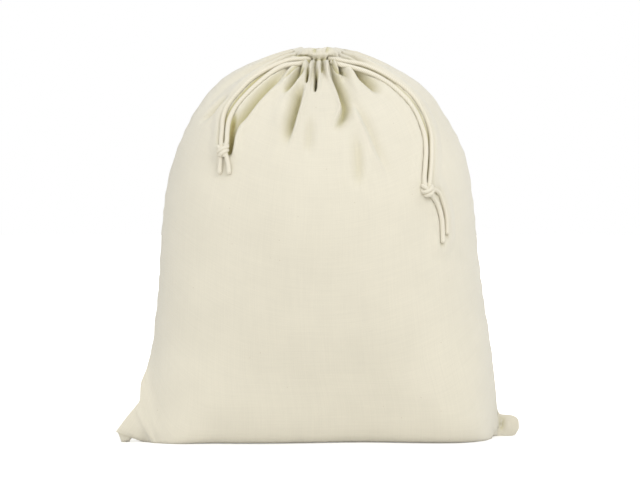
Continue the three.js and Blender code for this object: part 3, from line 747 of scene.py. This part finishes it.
def crease_depth(points, creases):
    """How far creases draw the front in, and the painted shade along their bottoms."""
    place = points[..., (0, 2)]
    depth = np.zeros(place.shape[:-1])
    shade = np.zeros(depth.shape)
    for trough, left, right, opens, closes, dark, *line in creases:
        corners = smooth_line(line, CREASE_STEP)
        along = run_along(corners)
        along = along / along[-1]
        nearest = np.full(depth.shape, np.inf)
        beside = np.zeros(depth.shape)
        share = np.zeros(depth.shape)
        for i, (start, end) in enumerate(zip(corners[:-1], corners[1:])):
            way = end - start
            reach = place - start
            t = np.clip((reach @ way) / (way @ way), 0, 1)
            away = np.linalg.norm(reach - t[..., None] * way, axis=-1)
            closer = away < nearest
            nearest = np.where(closer, away, nearest)
            beside = np.where(closer, way[0] * reach[..., 1] - way[1] * reach[..., 0], beside)
            share = np.where(closer, along[i] + t * (along[i + 1] - along[i]), share)
        wide = np.where(beside < 0, left, right)
        open_now = smoothstep(share, -0.02, opens + 0.001) if opens else 1
        strength = open_now * (1 - smoothstep(share, closes, 1))
        lip = CREASE_LIP * soft_hump(nearest - CREASE_LIP_AWAY * wide, CREASE_LIP_WIDE * wide)
        trench = soft_hump(nearest, wide)
        depth += trough * strength * (trench - lip)
        # Painted shade along the bottom of the crease
        shade = np.maximum(shade, dark * strength * trench)
    return depth, shade


def nearest_beads(points, line):
    """Which point of a line is nearest to each point of the cloth, and how far away it is."""
    tree = kdtree.KDTree(len(line))
    for i, bead in enumerate(line):
        tree.insert(bead, i)
    tree.balance()
    found = [tree.find(point)[1:] for point in points.reshape(-1, 3)]
    beads, away = (np.array(each).reshape(points.shape[:-1]) for each in zip(*found))
    return beads, away


def cord_bed(points, lines):
    """How far the cloth stands up beside the drawstrings, and the painted shade under them and between them.
    """
    away = {name: nearest_beads(points, line)[1] for name, line in lines.items()}
    nearest = np.min(list(away.values()), axis=0)
    between = np.zeros(nearest.shape)
    for side in ("left", "right"):
        farther = np.maximum(away[side + "_strand_outer"], away[side + "_strand_inner"])
        between = np.maximum(between, 1 - smoothstep(farther, *STRAND_GAP))
    rise = NESTLE * plateau(nearest, NESTLE_NEAR, NESTLE_FAR)
    under = CORD_SHADE * (1 - smoothstep(nearest, *CORD_SHADE_REACH))
    return rise * (1 - between), np.maximum(under, STRAND_GAP_SHADE * between)


def press_under(points, out, lines):
    """Presses the cloth in under the drawstrings, from where they come out of the gathers."""
    for name, line in lines.items():
        beads, away = nearest_beads(points, line)
        offset = points - line[beads]
        height = np.sum(offset * out, axis=-1)
        aside = np.sum(offset**2, axis=-1) - height**2
        under = height + np.sqrt(np.maximum(0, CORD_CLEAR**2 - aside))
        tucked = np.linalg.norm(np.subtract(TUCKED_IN[name], ROUTES[name][0])) if name in TUCKED_IN else 0
        free = smoothstep(run_along(line)[beads], tucked, tucked + CORD_EMERGES)
        points = points - out * (np.where(away < CORD_CLEAR, under, 0) * free)[..., None]
    return points


def lumps(points, cloth):
    """Soft unevenness of the filled cloth."""
    rise = np.zeros(points.shape[:-1])
    for size, height in LUMPS:
        spots = points.reshape(-1, 3) / size
        rise += height * np.array([noise.noise(Vector(spot)) for spot in spots]).reshape(rise.shape)
    return rise * plateau(cloth, LUMPS_START, LUMPS_END)


def seam_dip(across, cloth):
    """How far the sewn edges draw the cloth in, at distances along the cloth from one side seam."""
    away = np.minimum(across, PANEL_WIDTH - across)
    turn = 2 * np.pi * cloth / SEAM_PUCKER_LENGTH
    stray, over = SEAM_PUCKER_UNEVEN
    pucker = SEAM_PUCKER * np.sin(turn + stray * np.sin(turn / over)) * soft_hump(away, SEAM_PUCKER_WIDE)
    groove = SEAM_GROOVE * soft_hump(away, SEAM_GROOVE_WIDE)
    return plateau(cloth, SEAM_STARTS, SEAM_ENDS) * (groove + pucker)


def corner_lean(angle, cloth):
    """How far the left corner lies forward."""
    upright = smoothstep(cloth, 0, FLOOR_EDGE) * (np.sin(angle) < 0)
    lean_from = EAR_LEAN_FROM + (BACK_LEAN_FROM - EAR_LEAN_FROM) * upright
    return EAR_LEAN * smoothstep(np.cos(angle), lean_from, 1) * (1 - smoothstep(cloth, 0, EAR_LENGTH))


def ear_sag(angle, cloth):
    """How far the underside of the left corner sags."""
    past = (body_share(angle, cloth) - EAR_SAG_FROM) / (tip_share(angle, cloth) - EAR_SAG_FROM)
    across = np.clip(past, 0, 1) ** EAR_SAG_TIPWARD * (np.cos(angle) > 0)
    return EAR_SAG * np.sin(np.pi * across) * np.sin(np.pi * np.clip(cloth / EAR_SAG_CLOTH, 0, 1))


def cloth_surface(angle, cloth, front):
    """Points of the outside of the cloth, with its folds, and the directions straight out of it."""
    side = 0 if front else np.pi
    at = np.clip(angle, side + SEAM_TURN, side + np.pi - SEAM_TURN)
    point = smooth_surface(at, cloth, front)
    radial = unit(point * (1, 1, 0) + (0, NECK_FORWARD, 0))
    turned = smoothstep(cloth, NECK_FLATTENS, TIE)[..., None]
    out = outward(at, cloth, front)
    out = unit(out + (radial - out) * turned)
    lean = corner_lean(at, cloth)
    from_seam = np.abs(np.sin(at))
    from_bottom = smoothstep(cloth, 0, BOTTOM_CLOSES)
    gap = (SEAM_GAP + EAR_OPEN * lean / EAR_LEAN) * smoothstep(from_seam, 0, SEAM_CLOSES) * from_bottom
    sign = -1 if front else 1
    thin = CLOTH * np.abs(out[..., 1])
    wall = thin + (WALL - thin) * smoothstep(from_seam, *SEAM_THINS) * from_bottom
    point[..., 1] += sign * (gap / 2 + wall * np.abs(out[..., 1]))
    point += out * (pleat_bulge(at, cloth) - fold_depth(at, cloth))[..., None]
    point[..., 1] -= lean
    if not front:
        sag = ear_sag(at, cloth)
        point[..., 1] += EAR_SAG_BACK * sag
        point[..., 2] -= sag
    edge = smoothstep(cloth, TIE, PANEL_LENGTH)
    point[..., 2] += FRILL_WAVE * edge * (np.sin(3 * at + 1) + np.sin(7 * at))
    return point, out


def row_lengths():
    rows = [0.0]
    for upto, step in zip(*PANEL_ROWS.values()):
        count = max(1, round((upto - rows[-1]) / step))
        rows.extend(np.linspace(rows[-1], upto, count + 1)[1:])
    return np.array(rows)


def panel_points(front):
    """Rows of points on a panel's outside, its columns evenly spread along the folded cloth."""
    first = 0 if front else np.pi
    rows = row_lengths()[:, None]
    fine = np.linspace(first, first + np.pi, FINE_COLUMNS + 1)[None, :]
    fine, cloth = np.broadcast_arrays(fine, rows)
    drawn, _ = cloth_surface(fine, cloth, front)
    share = np.linspace(0, 1, PANEL_COLUMNS + 1)
    runs = [run_along(row) for row in drawn]
    angle = np.array([np.interp(share * along[-1], along, at) for along, at in zip(runs, fine)])
    cloth = np.broadcast_to(rows, angle.shape)
    return *cloth_surface(angle, cloth, front), angle, cloth


def panel(name, front, material, lines):
    """A cut of cloth, shaped from a flat grid, with the painted shade that each point carries in folds,
    creases and beside the drawstrings.
    """
    points, out, angle, cloth = panel_points(front)
    moved = lumps(points, cloth)
    below = 1 - smoothstep(cloth, CREASE_ENDS, TIE)
    # Painted shade at the bottoms of the pleats, darker between the drawstrings
    aside, inside = GATHER_SHADE
    dark = aside + (inside - aside) * between_drawstrings(angle)
    painted_shade = dark * smoothstep(fold_depth(angle, cloth), *GATHER_SHADE_DEPTH)
    if front:
        for creases, here in ((CREASES, below), (FRILL_CREASES, 1 - below)):
            depth, shade = crease_depth(points, creases)
            moved = moved - depth * here
            painted_shade = np.maximum(painted_shade, shade * here)
    points = points + out * moved[..., None]
    if front:
        rise, shade = cord_bed(points, lines)
        points = press_under(points + out * rise[..., None], out, lines)
        painted_shade = np.maximum(painted_shade, shade)
    rows, columns = cloth.shape
    across = np.linspace(0, PANEL_WIDTH, columns)[None, :]
    points[..., 0] -= seam_dip(across, cloth) * out[..., 0]
    points[..., 2] = np.maximum(0, points[..., 2])
    bm = bmesh.new()
    bmesh.ops.create_grid(bm, x_segments=columns - 1, y_segments=rows - 1, size=0.5, calc_uvs=True)
    uv = bm.loops.layers.uv.verify()
    painted_shade_layer = bm.verts.layers.float.new("painted_shade")
    for vert in bm.verts:
        column = round((vert.co.x + 0.5) * (columns - 1))
        row = round((vert.co.y + 0.5) * (rows - 1))
        vert.co = points[row, column]
        vert[painted_shade_layer] = painted_shade[row, column]
        for loop in vert.link_loops:
            loop[uv].uv = (column / (columns - 1), cloth[row, column] / PANEL_LENGTH)
    for edge in bm.edges:
        edge.smooth = not edge.is_boundary
    piece = new_piece(name + "_cloth", bm, material, name)
    thick = piece.modifiers.new("thickness", "SOLIDIFY")
    thick.thickness = CLOTH
    thick.offset = -1
    return piece


# Materials
def join(tree, node, inputs):
    """Sets a node's inputs to values, or joins them to other nodes."""
    for socket, value in dict(inputs).items():
        if isinstance(value, bpy.types.NodeSocket):
            tree.links.new(value, node.inputs[socket])
        else:
            node.inputs[socket].default_value = value
    return node


def add(tree, kind, inputs=(), **settings):
    """A new shader node with its settings and inputs."""
    made = tree.nodes.new("ShaderNode" + kind)
    for name, value in settings.items():
        setattr(made, name, value)
    return join(tree, made, inputs)


def calc(tree, operation, *values):
    return add(tree, "Math", enumerate(values), operation=operation).outputs["Value"]


def spread(tree, value, low, high, to_low, to_high, **settings):
    """A value between two limits carried over to two others."""
    ends = {"Value": value, "From Min": low, "From Max": high, "To Min": to_low, "To Max": to_high}
    return add(tree, "MapRange", ends, **settings).outputs["Result"]


def mixed(tree, factor, first, second, blend="MIX"):
    """Two colours mixed by a factor."""
    inputs = {"Factor": factor, "A": first, "B": second}
    return add(tree, "Mix", inputs, data_type="RGBA", blend_type=blend).outputs["Result"]


def tinted(tree, colour, tone):
    """A colour times a tone."""
    return mixed(tree, 1.0, colour, tone, "MULTIPLY")


def new_group(name, inputs, outputs):
    """An empty node group, what is given to it, and the node that takes its results."""
    group = bpy.data.node_groups.new(name, "ShaderNodeTree")
    for way, sockets in (("INPUT", inputs), ("OUTPUT", outputs)):
        for socket, kind in sockets.items():
            group.interface.new_socket(socket, in_out=way, socket_type="NodeSocket" + kind)
    return group, group.nodes.new("NodeGroupInput").outputs, group.nodes.new("NodeGroupOutput")


def use_group(tree, group, inputs):
    return add(tree, "Group", inputs, node_tree=group).outputs


def raw_cotton():
    """Group: the uneven tone of unbleached cotton, in broad clouds, and its fine fibres."""
    inputs = {"Place": "Vector", "Colour": "Color", "Clouds": "Float"}
    group, given, result = new_group("raw_cotton", inputs, {"Colour": "Color", "Fibres": "Float"})
    clouds = add(group, "TexNoise", {"Vector": given["Place"], **CLOUDS}).outputs["Fac"]
    least = calc(group, "SUBTRACT", 1.0, given["Clouds"])
    most = calc(group, "ADD", 1.0, given["Clouds"])
    tone = spread(group, clouds, 0.25, 0.75, least, most)
    fibres = add(group, "TexNoise", {"Vector": given["Place"], **FIBRES}).outputs["Fac"]
    join(group, result, {"Colour": tinted(group, given["Colour"], tone), "Fibres": fibres})
    return group


def plain_weave():
    """Group: threads over and under each other, and the thick places in them."""
    inputs = {"Across": "Float", "Along": "Float"}
    group, given, result = new_group("plain_weave", inputs, {"Height": "Float", "Slubs": "Float"})
    threads = [calc(group, "MULTIPLY", given[way], float(THREADS)) for way in inputs]
    turns = [calc(group, "MULTIPLY", at, math.pi) for at in threads]
    rounds = [calc(group, "ABSOLUTE", calc(group, "SINE", turn)) for turn in turns]
    place = add(group, "CombineXYZ", {"X": threads[0], "Y": threads[1], "Z": 0.5}).outputs["Vector"]
    over = add(group, "TexChecker", {"Vector": place, "Scale": 1.0}).outputs["Fac"]
    height = add(group, "Mix", {"Factor": over, "A": rounds[0], "B": rounds[1]}).outputs["Result"]
    slubs = 0.5
    for stretch in ((1, 1 / SLUB_THREADS, 1), (1 / SLUB_THREADS, 1, 1)):
        drawn = add(group, "VectorMath", {0: place, 1: stretch}, operation="MULTIPLY").outputs["Vector"]
        thick = add(group, "TexNoise", {"Vector": drawn, "Scale": 0.8, "Detail": 2.0}).outputs["Fac"]
        slubs = calc(group, "ADD", slubs, calc(group, "MULTIPLY_ADD", thick, 0.5, -0.25))
    join(group, result, {"Height": height, "Slubs": slubs})
    return group


def new_material(name, inputs):
    """A material, its node tree and its shader with inputs that are the same all over."""
    material = bpy.data.materials.new(name)
    material.use_nodes = True
    tree = material.node_tree
    return material, tree, join(tree, tree.nodes["Principled BSDF"], inputs)


def cotton(name, sheen):
    """A material of dull cotton: its tree, its shader, and its place on the piece and in its UV map."""
    inputs = {
        "Specular IOR Level": 0.25,
        "Sheen Weight": sheen,
        "Sheen Roughness": 0.5,
        "Sheen Tint": (*SHEEN, 1),
    }
    material, tree, shader = new_material(name, inputs)
    where = add(tree, "TexCoord").outputs
    along = add(tree, "SeparateXYZ", {"Vector": where["UV"]}).outputs
    return material, tree, shader, where["Object"], (along["X"], along["Y"])


def finish(tree, shader, colour, roughness, height, deep):
    """Joins a cotton's colour, roughness and bump to its shader."""
    bump = add(tree, "Bump", {"Height": height, "Distance": deep, "Strength": 0.6}).outputs["Normal"]
    join(tree, shader, {"Base Color": colour, "Roughness": roughness, "Normal": bump})


def cotton_cloth(raw):
    material, tree, shader, place, (u, v) = cotton("cotton_cloth", CLOTH_SHEEN)
    # Painted shade in folds, creases and beside the drawstrings, read from each point's painted shade value
    painted_shade = add(tree, "Attribute", attribute_name="painted_shade").outputs["Fac"]
    ramp = add(tree, "ValToRGB", {"Fac": painted_shade})
    stops = ramp.color_ramp.elements
    stops[0].color = (*COTTON, 1)
    stops[1].color = (*DEEP_PAINTED_SHADE, 1)
    for depth, tone in PAINTED_FOLD_SHADES:
        stops.new(depth).color = (*tone, 1)
    inputs = {"Place": place, "Colour": ramp.outputs["Color"], "Clouds": CLOTH_CLOUDS}
    uneven = use_group(tree, raw, inputs)
    sizes = (calc(tree, "MULTIPLY", u, PANEL_WIDTH), calc(tree, "MULTIPLY", v, PANEL_LENGTH))
    woven = use_group(tree, plain_weave(), dict(zip(("Across", "Along"), sizes)))
    tone = spread(tree, woven["Slubs"], *SLUBS, 1 - SLUB_TONE, 1 + SLUB_TONE)
    colour = tinted(tree, uneven["Colour"], tone)
    cells = add(tree, "TexVoronoi", {"Vector": place, "Scale": FLECK_CELLS}).outputs
    spot = spread(tree, cells["Distance"], *FLECK_SIZE, 1.0, 0.0)
    draw = add(tree, "SeparateColor", {"Color": cells["Color"]}).outputs["Red"]
    kept = calc(tree, "GREATER_THAN", draw, FLECK_NONE)
    faint = calc(tree, "MULTIPLY", calc(tree, "MULTIPLY", spot, kept), FLECK_STRENGTH)
    colour = mixed(tree, faint, colour, (*SEED_FLECK, 1))
    roughness = spread(tree, woven["Slubs"], *SLUBS, *CLOTH_ROUGH)
    threads = calc(tree, "ADD", woven["Height"], woven["Slubs"])
    height = calc(tree, "MULTIPLY_ADD", uneven["Fibres"], 0.5, threads)
    finish(tree, shader, colour, roughness, height, WEAVE_HEIGHT)
    return material


def cotton_cord(raw):
    material, tree, shader, place, (u, v) = cotton("cotton_cord", CORD_SHEEN)
    turn = calc(tree, "MULTIPLY", u, math.pi * CORD_YARNS)
    between = calc(tree, "POWER", calc(tree, "ABSOLUTE", calc(tree, "SINE", turn)), CORD_GROOVE)
    ply = calc(tree, "MULTIPLY_ADD", v, 2 * math.pi * CORD_LAY / CORD_PLY, calc(tree, "MULTIPLY", turn, 2.0))
    thread = calc(tree, "SINE", ply)
    uneven = use_group(tree, raw, {"Place": place, "Colour": (*CORD_COTTON, 1), "Clouds": CORD_CLOUDS})
    # Painted shade in the grooves between the yarns
    shade = spread(tree, between, 0.0, 1.0, *CORD_SHADE_TONES)
    colour = tinted(tree, uneven["Colour"], calc(tree, "MULTIPLY_ADD", thread, CORD_PLY_TONE, shade))
    roughness = spread(tree, thread, -1.0, 1.0, *CORD_ROUGH)
    height = calc(tree, "MULTIPLY_ADD", thread, 0.5, uneven["Fibres"])
    finish(tree, shader, colour, roughness, height, CORD_HEIGHT)
    return material


def floor():
    """A round pale floor that fades into the white surround."""
    bm = bmesh.new()
    bmesh.ops.create_circle(bm, cap_ends=True, segments=96, radius=FLOOR_RADIUS)
    mesh = bpy.data.meshes.new("floor")
    bm.to_mesh(mesh)
    bm.free()
    inputs = {"Roughness": 0.9, "Specular IOR Level": 0.0, "Emission Color": WHITE}
    material, tree, shader = new_material("pale_floor", inputs)
    seen = add(tree, "LightPath").outputs["Is Camera Ray"]
    tone = mixed(tree, seen, (*FLOOR_BOUNCE, 1), (*FLOOR_TONE, 1))
    place = add(tree, "TexCoord").outputs["Object"]
    away = add(tree, "VectorMath", {0: place}, operation="LENGTH").outputs["Value"]
    whiten = spread(tree, away, *FLOOR_WHITENS, interpolation_type="SMOOTHSTEP")
    glow = calc(tree, "MULTIPLY", whiten, seen)
    join(tree, shader, {"Base Color": tone, "Emission Strength": glow})
    mesh.materials.append(material)
    piece = bpy.data.objects.new("floor", mesh)
    bpy.context.scene.collection.objects.link(piece)


def studio():
    """A white surround that lights softly, and two large lamps up in front."""
    world = bpy.data.worlds.new("surround")
    world.use_nodes = True
    bpy.context.scene.world = world
    tree = world.node_tree
    backdrop = join(tree, tree.nodes["Background"], {"Color": WHITE, "Strength": 1.0})
    light = add(tree, "Background", {"Color": WHITE, "Strength": SURROUND_LIGHT})
    seen = add(tree, "LightPath").outputs["Is Camera Ray"]
    mix = add(tree, "MixShader", {"Fac": seen, 1: light.outputs[0], 2: backdrop.outputs[0]})
    join(tree, tree.nodes["World Output"], {"Surface": mix.outputs["Shader"]})
    for name, place, target, size, power in LAMPS:
        data = bpy.data.lights.new(name, "AREA")
        data.size = size
        data.energy = power
        aimed(name, data, place, target)
    bpy.context.scene.view_settings.view_transform = "Standard"


camera()
raw = raw_cotton()
cord_finish = cotton_cord(raw)
cloth_finish = cotton_cloth(raw)
knots = {
    "left": knot("left_knot", LEFT_KNOT, LEFT_STUBS, cord_finish),
    "right": knot("right_knot", RIGHT_KNOT, [], cord_finish),
}
lines = {}
for name, (length, far_end) in CORDS.items():
    piece, lines[name] = strand(name, cord_finish)

for name, front in (("front_panel", True), ("back_panel", False)):
    piece = panel(name, front, cloth_finish, lines)

floor()
studio()
